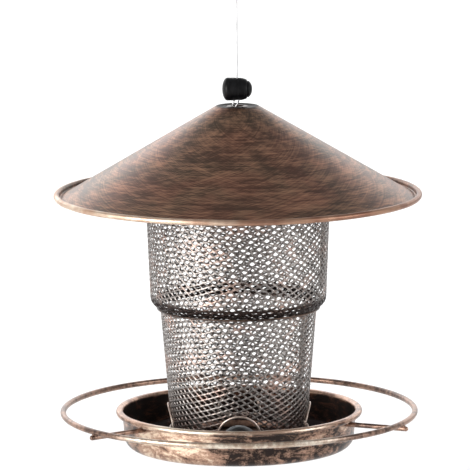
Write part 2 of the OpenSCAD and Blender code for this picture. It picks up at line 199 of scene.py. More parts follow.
class Finish:
    """One material: a Principled shader and short ways to add nodes to it."""

    def __init__(self, name, metallic, roughness, coat=0.0):
        self.material = bpy.data.materials.new(name)
        self.material.use_nodes = True
        self.tree = self.material.node_tree
        self.shader = self.tree.nodes["Principled BSDF"]
        self.shader.inputs["Metallic"].default_value = metallic
        self.shader.inputs["Roughness"].default_value = roughness
        self.shader.inputs["Coat Weight"].default_value = coat
        self.shader.inputs["Coat Roughness"].default_value = 0.3

    def node(self, kind, settings=None, **inputs):
        made = self.tree.nodes.new(kind)
        for key, value in (settings or {}).items():
            setattr(made, key, value)
        for key, value in inputs.items():
            self.join(value, made.inputs[int(key[1:])] if key[0] == "_" else made.inputs[key])
        return made

    def join(self, value, socket):
        if isinstance(value, bpy.types.NodeSocket):
            self.tree.links.new(value, socket)
        else:
            socket.default_value = value

    def math(self, operation, a, b=0.0):
        return self.node("ShaderNodeMath", {"operation": operation}, _0=a, _1=b).outputs[0]

    def clamp(self, value, low, high):
        """The value from 0 at low to 1 at high, smoothed."""
        made = self.node("ShaderNodeMapRange", {"interpolation_type": "SMOOTHSTEP"}, Value=value)
        made.inputs["From Min"].default_value = low
        made.inputs["From Max"].default_value = high
        return made.outputs["Result"]

    def noise(self, vector, scale, detail=4.0, roughness=0.6, distortion=0.0):
        made = self.node(
            "ShaderNodeTexNoise", Vector=vector, Scale=scale, Detail=detail, Roughness=roughness,
            Distortion=distortion,
        )
        return made.outputs["Fac"]

    def mix(self, factor, a, b):
        made = self.node("ShaderNodeMix", {"data_type": "RGBA"}, _0=factor, _6=a, _7=b)
        return made.outputs[2]

    def coords(self):
        return self.node("ShaderNodeTexCoord").outputs["Object"]

    def split(self, vector):
        made = self.node("ShaderNodeSeparateXYZ", Vector=vector)
        return made.outputs[0], made.outputs[1], made.outputs[2]

    def vector(self, x, y, z):
        return self.node("ShaderNodeCombineXYZ", X=x, Y=y, Z=z).outputs[0]

    def distance(self, a, b):
        """The length of a line that goes a one way and b across it."""
        return self.math("SQRT", self.math("ADD", self.math("MULTIPLY", a, a), self.math("MULTIPLY", b, b)))

    def round_axis(self, around, along, spiral=0.0):
        """Coordinates for strokes round the feeder's axis, with no seam: around is the
        pattern's frequency per radian, along its frequency per metre, and spiral turns it."""
        x, y, z = self.split(self.coords())
        radius = self.distance(x, y)
        angle = self.math("ADD", self.math("ARCTAN2", y, x), self.math("MULTIPLY", radius, spiral))
        return self.vector(
            self.math("MULTIPLY", self.math("COSINE", angle), around),
            self.math("MULTIPLY", self.math("SINE", angle), around),
            self.math("MULTIPLY", self.math("SUBTRACT", radius, z), along),
        )

    def bump(self, height, distance, strength=1.0):
        made = self.node("ShaderNodeBump", Height=height, Distance=distance, Strength=strength)
        self.join(made.outputs[0], self.shader.inputs["Normal"])

    def colour(self, value):
        self.join(value, self.shader.inputs["Base Color"])

    def rough(self, value):
        self.join(value, self.shader.inputs["Roughness"])


def rgb(*screen):
    """A colour from 0 to 255, as it looks on a screen, in the linear numbers nodes take."""
    linear = [((v / 255 + 0.055) / 1.055) ** 2.4 if v > 10 else v / 255 / 12.92 for v in screen]
    return (*linear, 1)


def strokes(finish):
    """Brush strokes round the axis and two slanting sets across them, from 0 to 1."""
    ring = finish.noise(finish.round_axis(2.6, 420), 1.0, 6, 0.7)
    left = finish.noise(finish.round_axis(38, 30, 24), 1.0, 5, 0.65)
    right = finish.noise(finish.round_axis(46, 24, -30), 1.0, 5, 0.65)
    broad = finish.noise(finish.round_axis(5, 70), 1.0, 3, 0.6)
    slant = finish.math("MULTIPLY", finish.math("ADD", left, right), 0.5)
    fine = finish.math("ADD", finish.math("MULTIPLY", ring, 0.36), finish.math("MULTIPLY", slant, 0.42))
    return finish.math("ADD", fine, finish.math("MULTIPLY", broad, 0.22))


def roof_finish():
    """Antique copper, brushed through to copper, rubbed bright along the rolled rim, with a painted
    highlight that makes the rim creamier on its left, and left dark in the crown."""
    f = Finish("roof_brushed_copper", 0.82, 0.42, 0.3)
    stroke = strokes(f)
    patch = f.noise(f.coords(), 26, 3, 0.55, 0.4)
    dark = f.mix(f.clamp(patch, 0.35, 0.65), rgb(88, 70, 56), rgb(104, 70, 56))
    light = f.mix(f.clamp(patch, 0.3, 0.7), rgb(194, 150, 120), rgb(198, 144, 116))
    body = f.mix(f.clamp(stroke, 0.44, 0.62), dark, light)
    x, y, _ = f.split(f.coords())
    radius = f.distance(x, y)
    rim_r = ROOF_RIM_R * MM
    worn = f.clamp(f.math("ADD", radius, f.math("MULTIPLY", patch, 0.002)), rim_r - 0.0026, rim_r - 0.0008)
    grade = f.clamp(f.noise(f.coords(), 45, 3), 0.36, 0.66)
    rim = f.mix(grade, rgb(150, 106, 86), rgb(190, 148, 122))
    # Painted highlight: the rim turns creamier towards its left, where the key lamp stands.
    rim = f.mix(f.clamp(x, 0.05, -0.06), rim, f.mix(grade, rgb(206, 166, 140), rgb(240, 220, 198)))
    crown = f.clamp(radius, CROWN_R * MM + 0.0014, CROWN_R * MM - 0.0006)
    f.colour(f.mix(crown, f.mix(worn, body, rim), rgb(40, 31, 26)))
    rough = f.math("ADD", 0.32, f.math("MULTIPLY", stroke, 0.2))
    f.rough(f.math("ADD", rough, f.math("MULTIPLY", crown, 0.35)))
    f.bump(stroke, 0.0006, 0.35)
    return f.material


def tray_finish():
    """Antique copper on the tray: dark paint left in blotches, a painted highlight at the front
    left, painted shade beside it below the perch ring, an inside darkened with painted shade, and a rolled
    rim with a painted highlight at the front."""
    f = Finish("tray_mottled_copper", 0.82, 0.36, 0.3)
    x, y, z = f.split(f.coords())
    radius = f.distance(x, y)
    blotch = f.noise(f.round_axis(6, 240), 1.0, 6, 0.7, 0.6)
    fine = f.noise(f.coords(), 700, 3, 0.7)
    mottle = f.math("ADD", f.math("MULTIPLY", blotch, 0.78), f.math("MULTIPLY", fine, 0.22))
    # Painted highlight: the front left of the tray is lifted towards cream, where the key lamp's highlight
    # falls.
    painted_highlight = f.math("MULTIPLY", f.clamp(x, -0.016, -0.034), f.clamp(y, -0.03, -0.05))
    mottle = f.math("ADD", mottle, f.math("MULTIPLY", painted_highlight, 0.12))
    # Painted shade: a darker stretch on the front of the tray, below the perch ring.
    painted_shade = f.math("MULTIPLY", f.clamp(x, -0.012, 0.0), f.clamp(x, 0.05, 0.036))
    painted_shade = f.math("MULTIPLY", painted_shade, f.clamp(y, -0.03, -0.05))
    mottle = f.math("SUBTRACT", mottle, f.math("MULTIPLY", painted_shade, 0.045))
    body = f.mix(f.clamp(mottle, 0.43, 0.6), rgb(44, 32, 28), rgb(186, 148, 126))
    body = f.mix(f.clamp(mottle, 0.57, 0.68), body, rgb(238, 216, 192))
    # The outside is what lies further from the corner's centre than the sheet's middle does,
    # with an allowance for the wall's lean above the corner
    height = f.math("SUBTRACT", z, FOOT)
    corner_r, corner_h = (v * MM for v in TRAY_CORNER_C)
    out_r = f.math("MAXIMUM", f.math("SUBTRACT", radius, corner_r), 0.0)
    down = f.math("MINIMUM", f.math("SUBTRACT", height, corner_h), 0.0)
    above = f.math("MAXIMUM", f.math("SUBTRACT", height, 0.0067), 0.0)
    lean = f.math("MULTIPLY", above, math.tan(math.radians(TRAY_LEAN)))
    past = f.math("SUBTRACT", f.math("SUBTRACT", f.distance(out_r, down), lean), TRAY_CORNER_R * MM)
    outer = f.clamp(past, -0.00012, 0.00012)
    # Painted shade: the inside of the tray is given darker colours than the outside.
    inside = f.mix(f.clamp(mottle, 0.48, 0.66), rgb(34, 23, 20), rgb(108, 70, 52))
    rim_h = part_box("tray_pan")[1].z
    worn = f.clamp(f.math("ADD", z, f.math("MULTIPLY", blotch, 0.0012)), rim_h - 0.0022, rim_h - 0.0006)
    rim = f.mix(f.clamp(mottle, 0.42, 0.58), rgb(140, 106, 90), rgb(216, 178, 154))
    # Painted highlight: the rolled rim turns near white along the front.
    bright = f.mix(f.clamp(mottle, 0.42, 0.58), rgb(206, 172, 150), rgb(252, 236, 216))
    rim = f.mix(f.clamp(y, -0.052, -0.07), rim, bright)
    f.colour(f.mix(worn, f.mix(outer, inside, body), rim))
    f.rough(f.math("ADD", 0.22, f.math("MULTIPLY", mottle, 0.26)))
    f.bump(mottle, 0.0005, 0.4)
    return f.material


def wire_finish(name, low, high, painted_highlight=None):
    """Copper paint on wire, with darker mottling. A painted highlight, a lighter pair of colours,
    goes on the perch along the front."""
    f = Finish(name, 0.85, 0.36, 0.4)
    large = f.noise(f.coords(), 34, 3, 0.6)
    small = f.noise(f.coords(), 240, 5, 0.7)
    mottle = f.math("ADD", f.math("MULTIPLY", large, 0.45), f.math("MULTIPLY", small, 0.55))
    colour = f.mix(f.clamp(mottle, 0.4, 0.6), low, high)
    # Painted highlight: the perch's front is given near-white colours.
    if painted_highlight:
        x, y, _ = f.split(f.coords())
        front = f.math("MULTIPLY", f.clamp(y, -0.085, -0.112), f.clamp(x, 0.09, 0.04))
        colour = f.mix(front, colour, f.mix(f.clamp(mottle, 0.4, 0.6), *painted_highlight))
    f.colour(colour)
    f.rough(f.math("ADD", 0.26, f.math("MULTIPLY", small, 0.26)))
    f.bump(small, 0.0003, 0.4)
    return f.material


def mesh_finish():
    """Expanded metal: pewter grey with traces of copper, with painted shade where the tiers meet,
    and browner down in the tray."""
    f = Finish("expanded_metal", 0.9, 0.34)
    tint = f.noise(f.coords(), 60, 3, 0.6)
    grain = f.noise(f.coords(), 900, 3, 0.6)
    base = f.mix(f.clamp(grain, 0.35, 0.68), rgb(98, 93, 90), rgb(190, 183, 179))
    tinted = f.mix(f.clamp(tint, 0.5, 0.75), base, rgb(186, 158, 146))
    height = f.math("SUBTRACT", f.split(f.coords())[2], FOOT)
    # Painted shade: a dark band under the upper tier's in-turned foot, where the tiers meet.
    painted_fold_shade = f.math("MULTIPLY", f.clamp(height, 0.1085, 0.104), f.clamp(height, 0.0945, 0.098))
    tinted = f.mix(f.math("MULTIPLY", f.clamp(height, 0.036, 0.02), 0.75), tinted, rgb(70, 50, 44))
    f.colour(f.mix(painted_fold_shade, tinted, rgb(50, 40, 37)))
    f.rough(f.math("ADD", 0.24, f.math("MULTIPLY", grain, 0.24)))
    f.bump(grain, 0.0002, 0.4)
    return f.material


def steel_finish(name, colour, roughness, grain_scale=500):
    """Drawn or plated steel with a fine grain and dull patches."""
    f = Finish(name, 1.0, roughness)
    grain = f.noise(f.coords(), grain_scale, 4, 0.6)
    dull = f.noise(f.coords(), 70, 3, 0.5)
    dark = tuple(v * 0.72 for v in colour[:3]) + (1,)
    f.colour(f.mix(f.clamp(dull, 0.35, 0.7), colour, dark))
    f.rough(f.math("ADD", roughness - 0.08, f.math("MULTIPLY", grain, 0.2)))
    f.bump(grain, 0.0002, 0.25)
    return f.material


def plastic_finish():
    """Black moulded plastic with a fine satin texture and handling marks."""
    f = Finish("stopper_black_plastic", 0.0, 0.4)
    f.shader.inputs["IOR"].default_value = 1.33
    texture = f.noise(f.coords(), 2600, 3, 0.6)
    stretched = [f.math("MULTIPLY", v, scale) for v, scale in zip(f.split(f.coords()), (900, 240, 240))]
    marks = f.noise(f.vector(*stretched), 1.0, 4)
    f.colour(f.mix(f.clamp(marks, 0.5, 0.75), rgb(7, 7, 9), rgb(26, 27, 31)))
    f.rough(f.math("ADD", 0.3, f.math("MULTIPLY", marks, 0.3)))
    f.bump(texture, 0.0002, 0.3)
    return f.material


ROOF = roof_finish()
TRAY = tray_finish()
# The perch's second pair of colours is a painted highlight along its front.
PERCH = wire_finish(
    "perch_copper_with_painted_highlight", rgb(92, 70, 60), rgb(186, 150, 130),
    painted_highlight=(rgb(200, 172, 150), rgb(254, 244, 228)),
)
TRIM = wire_finish("trim_copper", rgb(96, 70, 60), rgb(176, 140, 120))
PORT = wire_finish("port_edge", rgb(190, 166, 154), rgb(244, 228, 216))
MESH = mesh_finish()
EYELET = wire_finish("eyelet_dark_copper", rgb(44, 34, 30), rgb(92, 70, 60))
HOOP = wire_finish("hoop_dark", rgb(52, 42, 38), rgb(118, 96, 84))
STEEL = steel_finish("plated_steel", rgb(150, 147, 143), 0.38)
DOME = steel_finish("grey_pressed_steel", rgb(122, 126, 128), 0.42)
CABLE_STEEL = steel_finish("stranded_steel", rgb(214, 214, 216), 0.3, 2200)
CRIMP = steel_finish("crimped_aluminium", rgb(200, 201, 204), 0.46)
BLACK = plastic_finish()


def finish_piece(piece, material, body, slot, *nodes):
    """Gives a new piece its material and its body, and hides the CAD nodes it stands for. The slot is not
    used.
    """
    piece.data.materials.clear()
    piece.data.materials.append(material)
    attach(piece, body)
    if nodes:
        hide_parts(*nodes)
    return piece


# ---- Sheet that is spun round the axis ----

def arc(centre, radius, start, end, steps):
    """Points on an arc in the (radius, height) plane, without the first one."""
    angles = [math.radians(start + (end - start) * i / steps) for i in range(1, steps + 1)]
    return [(centre[0] + radius * math.cos(a), centre[1] + radius * math.sin(a)) for a in angles]


def straight(a, b, steps):
    """Points from a to b, without a."""
    return [tuple(p + (q - p) * i / steps for p, q in zip(a, b)) for i in range(1, steps + 1)]


def across(path):
    """Direction across an open path at each point, longer at bends, as a sheet's wall needs."""
    p = np.array(path, float)
    d = np.diff(p, axis=0)
    d /= np.linalg.norm(d, axis=1)[:, None]
    before = np.vstack([d[:1], d])
    after = np.vstack([d, d[-1:]])
    middle = before + after
    middle /= np.linalg.norm(middle, axis=1)[:, None]
    return np.column_stack([-middle[:, 1], middle[:, 0]]) / np.sum(middle * before, axis=1)[:, None]


def sheet_outline(path, thickness):
    """The closed outline of a sheet whose middle follows a path, its two edges rounded."""
    p, n = np.array(path, float), across(path)
    near, far = p + n * thickness / 2, p - n * thickness / 2
    start = p[0] + (p[0] - p[1]) / np.linalg.norm(p[0] - p[1]) * thickness * 0.3
    end = p[-1] + (p[-1] - p[-2]) / np.linalg.norm(p[-1] - p[-2]) * thickness * 0.3
    return [start, *near, end, *far[::-1]]


def spin(name, outline, segments, wobble=None):
    """A closed outline turned round the axis. wobble(angle, r, h) moves a point a little."""
    points = []
    for k in range(segments):
        a = 2 * math.pi * k / segments
        for r, h in outline:
            dr, dh = wobble(a, r, h) if wobble else (0.0, 0.0)
            points.append(((r + dr) * math.cos(a), (r + dr) * math.sin(a), h + dh))
    faces = [f[::-1] for f in tube_faces(segments, len(outline), closed=True)]
    return link_mesh(name, points, faces)


def hand_worked(amount, start_r):
    """Slight waves in a rolled rim outside a radius, as a spun and rolled edge has."""
    def wobble(a, r, h):
        grow = min(max((r - start_r) / 3, 0), 1)
        spot = Vector((math.cos(a) * 3.1, math.sin(a) * 3.1, 7.7))
        fine = Vector((math.cos(a) * 17, math.sin(a) * 17, 2.3))
        return 0.0, grow * amount * (noise.noise(spot) + 0.3 * noise.noise(fine))
    return wobble


DISH_H = CROWN_H - 0.8


def roof_shell():
    """From the eyelet out: the dished crown, the cone, a gutter and the curl of the rim."""
    rim_h, curl, gutter_r = 176, 1.7, 1.2
    curl_c = (ROOF_RIM_R - curl - SHEET_T / 2, rim_h)
    gutter_c = (curl_c[0] - curl - gutter_r, rim_h - 0.5)
    top = (CROWN_R + 0.4, CROWN_H - 0.15)
    dx, dy = top[0] - gutter_c[0], top[1] - gutter_c[1]
    start = math.degrees(math.atan2(dy, dx) + math.acos(gutter_r / math.hypot(dx, dy)))
    foot = arc(gutter_c, gutter_r, start, start + 0.001, 1)[0]
    dish = [(5.15, 0), (10.4, 0), (11.6, 0.12), (12.7, 0.44), (13.4, 0.72), (14.1, 0.78)]
    path = [(r, DISH_H + rise) for r, rise in dish] + [top]
    path += straight(top, foot, 22) + arc(gutter_c, gutter_r, start, 360, 12)
    path += arc(curl_c, curl, 180, -100, 26)
    piece = spin("roof_cone", sheet_outline(path, SHEET_T), 320, hand_worked(0.22, 118))
    return finish_piece(piece, ROOF, "roof", "roof_copper", "roof_shell")


def roof_eyelet():
    """A tube with a rounded flange over the crown's sheet and one under it."""
    bore = 4.5
    section = [
        (0, -0.7), (0, 0.7), (0.25, 0.95), (1.2, 1.0), (2.5, 0.85), (3, 0.55), (3, 0.37), (0.62, 0.36),
        (0.6, -0.36), (3, -0.37), (3, -0.6), (2.5, -0.85), (1.2, -0.95), (0.3, -0.93),
    ]
    outline = [(bore + out, DISH_H + rise) for out, rise in section]
    piece = spin("roof_eyelet_rolled", outline[::-1], 64)
    return finish_piece(piece, EYELET, "roof", "rim_copper", "roof_eyelet")


def drilled(piece, cutters):
    """Cuts simple solids out of a piece, and removes them."""
    for cutter in cutters:
        cut = piece.modifiers.new("cut", "BOOLEAN")
        cut.operation = "DIFFERENCE"
        cut.solver = "EXACT"
        cut.object = cutter
    bpy.context.view_layer.update()
    graph = bpy.context.evaluated_depsgraph_get()
    mesh = bpy.data.meshes.new_from_object(piece.evaluated_get(graph))
    piece.modifiers.clear()
    piece.data = mesh
    for cutter in cutters:
        bpy.data.objects.remove(cutter)
    return piece


def rod(name, centre, radius, length, sides=32):
    """A plain upright rod for cutting holes."""
    x, y, h = centre
    ends = (h - length / 2, h + length / 2)
    points = [(x + a, y + b, end) for end in ends for a, b in circle(radius, sides)]
    return link_mesh(name, points, tube_faces(2, sides))


def tray_pan():
    """From the screw's hole out: the raised middle, the floor, the corner, the wall and the
    curl of the rim."""
    curl = 1.6
    curl_c = (TRAY_RIM_R - curl - SHEET_T / 2, TRAY_RIM_H)
    turn_c = (curl_c[0] - 1, TRAY_RIM_H)
    floor_h = SHEET_T / 2
    raised = 2.5 + floor_h
    path = [(2.3, raised)] + straight((2.3, raised), (49.6, raised), 10)
    path += [(50.2, raised - 0.2), (51.25, floor_h + 1.25), (52.3, floor_h + 0.2), (53, floor_h)]
    path += straight((53, floor_h), (TRAY_CORNER_C[0], floor_h), 6)
    path += arc(TRAY_CORNER_C, TRAY_CORNER_R, -90, -TRAY_LEAN, 16)
    path += straight(path[-1], (turn_c[0] - curl, TRAY_RIM_H), 6) + arc(turn_c, curl, 180, 90, 8)
    path += [(curl_c[0], curl_c[1] + curl)] + arc(curl_c, curl, 90, -110, 20)
    piece = spin("tray_spun", sheet_outline(path, SHEET_T), 288, hand_worked(0.2, 80))
    drains = []
    for k in range(8):
        a = 2 * math.pi * (k + 0.5) / 8
        drains.append(rod(f"drain_{k}", (62 * math.cos(a), 62 * math.sin(a), 0), 1.75, 6))
    return finish_piece(drilled(piece, drains), TRAY, "base", "tray_copper", "tray_pan")


def cone_radius(cone, h):
    """The radius at a height of the cone between two (radius, height) points."""
    top, foot = cone
    return foot[0] + (top[0] - foot[0]) * (h - foot[1]) / (top[1] - foot[1])


def folded_band(name, a, b, closed_h, open_h, node, body):
    """A channel folded over the edge of a cone from a to b: a rounded fold at closed_h."""
    inner, outer, chamfer = 0.55, 1.12, 0.15
    way = 1 if open_h > closed_h else -1
    fold_h = closed_h + way * outer
    edge_h = open_h - way * 0.2
    open_r, fold_r = cone_radius((a, b), open_h), cone_radius((a, b), fold_h)
    turns = [math.radians(10 * k) for k in range(1, 18)]
    line = [(open_r + inner, open_h), (open_r + outer - chamfer, open_h), (open_r + outer, edge_h)]
    line += [(fold_r + outer, fold_h)]
    line += [(fold_r + outer * math.cos(t), fold_h - way * outer * math.sin(t)) for t in turns]
    line += [(fold_r - outer, fold_h), (open_r - outer, edge_h)]
    line += [(open_r - outer + chamfer, open_h), (open_r - inner, open_h)]
    line += [(fold_r - inner, fold_h), (fold_r + inner, fold_h)]
    piece = spin(name, line if way < 0 else line[::-1], 192)
    return finish_piece(piece, TRIM, body, "rim_copper", node)


# ---- Expanded metal ----

LONG_WAY, SHORT_WAY = 7.6, 4.25
STRAND_W, STRAND_T, STRAND_LEAN = 1.14, 0.5, 0.22
LATTICE_TILT = math.radians(-10)
FLAT_R = 50


def cell_template():
    """One diamond of the mesh as five loops of twelve (x, y, depth) points: the strands'
    middle line in front, their shoulder, the hole's edge, the shoulder behind and the middle
    line behind."""
    corners = [(LONG_WAY / 2, 0), (0, SHORT_WAY / 2), (-LONG_WAY / 2, 0), (0, -SHORT_WAY / 2)]
    border, hole = [], []
    inset = 1 - STRAND_W / 2 / (LONG_WAY * SHORT_WAY / 4 / math.hypot(LONG_WAY / 2, SHORT_WAY / 2))
    for k in range(4):
        a, b = corners[k], corners[(k + 1) % 4]
        blunt = 0.8 if k % 2 == 0 else 0.92
        border.append(a)
        hole.append((a[0] * inset * blunt, a[1] * inset * blunt))
        for t, s in ((1 / 3, 0.24), (2 / 3, 0.76)):
            border.append((a[0] + (b[0] - a[0]) * t, a[1] + (b[1] - a[1]) * t))
            hole.append(((a[0] + (b[0] - a[0]) * s) * inset, (a[1] + (b[1] - a[1]) * s) * inset))
    border, hole = np.array(border), np.array(hole)
    lean = STRAND_LEAN * np.clip(hole[:, 1] / (SHORT_WAY / 2 * inset), -1, 1)
    shoulder = hole + 0.3 * (border - hole)

    def loop(outline, depth):
        return np.column_stack([outline, np.broadcast_to(depth, len(outline))])

    return np.vstack([
        loop(border, STRAND_T / 2), loop(shoulder, 0.75 * lean + STRAND_T / 2 * 0.86), loop(hole, lean),
        loop(shoulder, 0.75 * lean - STRAND_T / 2 * 0.86), loop(border, -STRAND_T / 2),
    ])


class Profile:
    """A sheet's middle line from its top down, measured along it."""

    def __init__(self, path):
        self.path = np.array(path, float)
        steps = np.linalg.norm(np.diff(self.path, axis=0), axis=1)
        self.run = np.concatenate([[0], np.cumsum(steps)])
        self.length = self.run[-1]
        self.normal = across(path)

    def at(self, run):
        along = [np.interp(run, self.run, column) for column in (*self.path.T, *self.normal.T)]
        return np.column_stack(along)

    def run_at(self, height):
        return float(np.interp(-height, -self.path[:, 1], self.run))


def lattice(profile, cone_top, cone_foot, seam_angle):
    """All the diamonds of a sheet rolled to a cone, as flat (angle * FLAT_R, run, depth)
    points. The pattern is laid on the cone's unrolled sector, so it turns a little on the way
    round, as on a sheet that was flat."""
    slant = math.dist(cone_top, cone_foot)
    taper = (cone_top[0] - cone_foot[0]) / slant
    run_top = profile.run_at(cone_top[1])
    apex = cone_top[0] / taper + run_top
    low, high = seam_angle - 2 * math.pi, seam_angle
    e1 = np.array([math.cos(LATTICE_TILT), math.sin(LATTICE_TILT)])
    e2 = np.array([-e1[1], e1[0]])
    middle = np.array([0, apex - profile.length / 2])
    count = int(apex / SHORT_WAY)
    j, i = np.mgrid[-count:count + 1, -count:count + 1].reshape(2, -1)
    centre = middle + np.outer((i + 0.5 * (j % 2)) * LONG_WAY, e1) + np.outer(j * SHORT_WAY / 2, e2)
    angle = np.arctan2(centre[:, 0], centre[:, 1]) / taper
    run = apex - np.hypot(*centre.T)
    margin = LONG_WAY
    keep = (run > -margin) & (run < profile.length + margin)
    keep &= (angle > low - margin / FLAT_R) & (angle < high + margin / FLAT_R)
    template = cell_template()
    spots = centre[keep][:, None] + template[None, :, :1] * e1 + template[None, :, 1:2] * e2
    spots = spots.reshape(-1, 2)
    flat = np.column_stack([
        np.arctan2(spots[:, 0], spots[:, 1]) / taper * FLAT_R,
        apex - np.hypot(*spots.T),
        np.tile(template[:, 2], keep.sum()),
    ])
    ring = [(a, (a + 1) % 12) for a in range(12)]
    cell = [(12 * s + b, 12 * s + a, 12 * s + 12 + a, 12 * s + 12 + b) for s in range(4) for a, b in ring]
    faces = np.array(cell)[None] + 60 * np.arange(keep.sum())[:, None, None]
    return flat, faces.reshape(-1, 4), low * FLAT_R, high * FLAT_R


def cut(bm, point, normal):
    """Cuts away the side that the normal points to."""
    everything = bm.verts[:] + bm.edges[:] + bm.faces[:]
    bmesh.ops.bisect_plane(bm, geom=everything, dist=1e-4, plane_co=point, plane_no=normal, clear_outer=True)


def punch(bm, outline):
    """Cuts a hole of a convex outline, listed counter-clockwise, through a flat mesh."""
    xs, ys = [p[0] for p in outline], [p[1] for p in outline]
    box = min(xs) - 6, max(xs) + 6, min(ys) - 6, max(ys) + 6
    inside = []
    for face in bm.faces:
        x, y, _ = face.verts[0].co
        if box[0] < x < box[1] and box[2] < y < box[3]:
            inside.append(face)
    for p, q in zip(outline, outline[1:] + outline[:1]):
        outward = Vector((q[1] - p[1], p[0] - q[0], 0)).normalized()
        corner = Vector((*p, 0))
        geometry = set(inside)
        for face in inside:
            geometry.update(face.edges)
            geometry.update(face.verts)
        result = bmesh.ops.bisect_plane(bm, geom=list(geometry), dist=1e-4, plane_co=corner, plane_no=outward)
        faces = [g for g in result["geom"] if isinstance(g, bmesh.types.BMFace)]
        inside = [f for f in faces if (f.calc_center_median() - corner).dot(outward) < 0]
    bmesh.ops.delete(bm, geom=inside, context="FACES")


def expanded_sheet(name, profile, flat, faces, ends, outlines):
    """A stretch of the mesh between two flat ends, cut to size, closed and rolled up."""
    x = flat[:, 0].reshape(-1, 60).mean(axis=1)
    near = (x > ends[0] - LONG_WAY) & (x < ends[1] + LONG_WAY)
    cells = np.flatnonzero(near)
    points = flat.reshape(-1, 60, 3)[cells].reshape(-1, 3)
    quads = (faces.reshape(-1, 48, 4)[: len(cells)]).reshape(-1, 4)
    mesh = bpy.data.meshes.new(name)
    mesh.from_pydata(points.tolist(), [], quads.tolist())
    bm = bmesh.new()
    bm.from_mesh(mesh)
    bmesh.ops.remove_doubles(bm, verts=bm.verts[:], dist=0.01)
    cut(bm, (ends[0], 0, 0), (-1, 0, 0))
    cut(bm, (ends[1], 0, 0), (1, 0, 0))
    cut(bm, (0, 0.05, 0), (0, -1, 0))
    cut(bm, (0, profile.length - 0.05, 0), (0, 1, 0))
    for outline in outlines:
        punch(bm, outline)
    bmesh.ops.delete(bm, geom=[v for v in bm.verts if not v.link_faces], context="VERTS")
    bmesh.ops.holes_fill(bm, edges=[e for e in bm.edges if e.is_boundary], sides=0)
    bmesh.ops.triangulate(bm, faces=[f for f in bm.faces if len(f.verts) > 4])
    co = np.array([v.co for v in bm.verts])
    r, h, nr, nh = profile.at(co[:, 1]).T
    angle = co[:, 0] / FLAT_R
    out = r + co[:, 2] * nr
    rolled = place(np.column_stack([out * np.sin(angle), -out * np.cos(angle), h + co[:, 2] * nh]))
    for vert, spot in zip(bm.verts, rolled):
        vert.co = spot
    bmesh.ops.recalc_face_normals(bm, faces=bm.faces[:])
    bm.to_mesh(mesh)
    bm.free()
    mesh.polygons.foreach_set("use_smooth", [True] * len(mesh.polygons))
    mesh.set_sharp_from_angle(angle=math.radians(70))
    piece = bpy.data.objects.new(name, mesh)
    bpy.context.scene.collection.objects.link(piece)
    return piece


# The two tiers' middle lines as (radius, height) points, and the arcs of the upper tier's
# in-turned foot and the lower tier's flange
UPPER = ((64.6, 203.9), (60.6, 105.6))
LOWER = ((53.95, 98.9), (46.05, 4.0))
LIP_C, LIP_R = (53.6, 105.6), 7
FLANGE_C, FLANGE_R, FLANGE_OUT = (55.55, 98.9), 1.6, 58
UPPER_SEAM, LOWER_SEAM = 20, 27
PORT_R, PORT_LEG, SILL_H = 14, 1.2, 13.4
# The bead stands on the mesh's cut edge, so both are this far outside the port's own outline
BEAD_OUT = 0.8


def port_line(grow, steps=20):
    """A seed port's outline as (sideways, height) points, counter-clockwise from outside."""
    r, low = PORT_R + grow, SILL_H - grow
    centre = SILL_H + PORT_LEG
    turns = [math.pi * k / steps for k in range(steps + 1)]
    arch = [(r * math.cos(t), centre + r * math.sin(t)) for t in turns]
    return [(r, low)] + arch + [(-r, low)]


def upper_mesh():
    """The upper tier, down to its in-turned foot, in two halves."""
    path = [UPPER[0]] + straight(*UPPER, 30) + arc(LIP_C, LIP_R, 0, -79.3, 24)
    profile = Profile(path)
    flat, faces, low, high = lattice(profile, *UPPER, math.radians(90 + UPPER_SEAM))
    middle = (low + high) / 2
    for side, ends in (("left", (low, middle)), ("right", (middle, high))):
        piece = expanded_sheet("upper_mesh_" + side, profile, flat, faces, ends, [])
        finish_piece(piece, MESH, "hopper", "mesh_metal", "upper_sleeve")


def lower_mesh():
    """The lower tier, down from the lip of its flange, in two halves with four ports."""
    rise = math.radians(30)
    turn = (FLANGE_C[0] - FLANGE_R * math.sin(rise), FLANGE_C[1] + FLANGE_R * math.cos(rise))
    lip = (FLANGE_OUT, turn[1] + (FLANGE_OUT - turn[0]) * math.tan(rise))
    path = [lip] + straight(lip, turn, 4) + arc(FLANGE_C, FLANGE_R, 120, 180, 8)
    path += straight(*LOWER, 30)
    profile = Profile(path)
    flat, faces, low, high = lattice(profile, *LOWER, math.radians(90 + LOWER_SEAM))
    outlines = []
    for k in (-2, -1, 0, 1):
        line = []
        for side, h in port_line(BEAD_OUT):
            angle = math.asin(side / cone_radius(LOWER, h)) + k * math.pi / 2
            line.append((angle * FLAT_R, profile.run_at(h)))
        outlines.append(line[::-1])
    middle = (low + high) / 2
    for side, (start, end) in (("left", (low, middle)), ("right", (middle, high))):
        here = [line for line in outlines if min(line)[0] < end and max(line)[0] > start]
        piece = expanded_sheet("lower_mesh_" + side, profile, flat, faces, (start, end), here)
        finish_piece(piece, MESH, "base", "mesh_metal", "lower_sleeve")


def turned(points, angle):
    """Points turned round the feeder's axis."""
    c, s = math.cos(angle), math.sin(angle)
    return [(p.x * c - p.y * s, p.x * s + p.y * c, p.z) for p in points]


